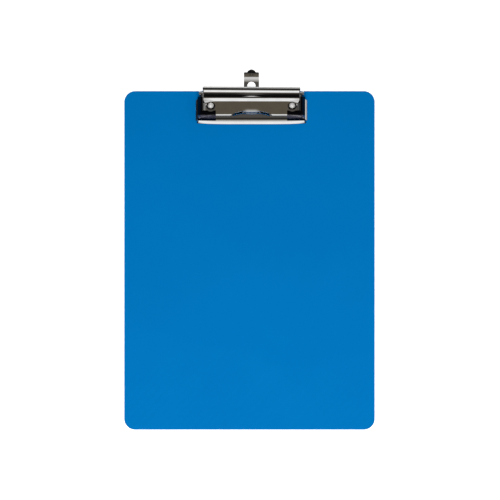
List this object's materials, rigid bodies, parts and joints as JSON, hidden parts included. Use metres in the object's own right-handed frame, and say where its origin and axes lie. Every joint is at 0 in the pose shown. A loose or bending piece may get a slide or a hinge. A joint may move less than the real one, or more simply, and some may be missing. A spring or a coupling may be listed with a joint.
{
  "type": "clipboard",
  "caption": "A4 clipboard: flat plastic board with a riveted sprung lever clip, padded jaw corners and a pull-out hanging tab.",
  "frame": {"origin": "centre of the board's back face, on the surface it lies on", "axes": "+X across the board to the reader's right, +Y along the board towards the clip, +Z out of the writing face"},
  "size_m": [0.229, 0.3292, 0.0126],
  "materials": {
    "board_plastic": "satin, fine grain",
    "base_steel": "bright nickel plate",
    "jaw_steel": "bright nickel plate",
    "cap_plastic": "satin black",
    "rod_steel": "zinc plate",
    "spring_steel": "drawn wire",
    "tab_steel": "bright nickel plate",
    "rivet_steel": "bright nickel plate"
  },
  "bodies": {
    "board": {"board": "board_plastic", "base_plate": "base_steel", "pivot_rod": "rod_steel", "spring_left": "spring_steel", "spring_right": "spring_steel", "rivet_left": "rivet_steel", "rivet_right": "rivet_steel", "washer_left": "rivet_steel", "washer_right": "rivet_steel"},
    "jaw": {"jaw": "jaw_steel", "corner_cap_left": "cap_plastic", "corner_cap_right": "cap_plastic"},
    "hanging_tab": {"hanging_tab": "tab_steel"}
  },
  "joints": [
    {"name": "jaw_hinge", "type": "hinge", "parent": "board", "child": "jaw", "pos_m": [0.0018, 0.1524, 0.0078], "axis": [-1, 0, 0], "range_deg": [0, 23], "stiffness_Nm_per_rad": 0.25, "springref_deg": -57.3, "deforming": ["spring_left", "spring_right"]},
    {"name": "tab_slide", "type": "slide", "parent": "board", "child": "hanging_tab", "axis": [0, 1, 0], "range_m": [-0.0095, 0.005]}
  ]
}
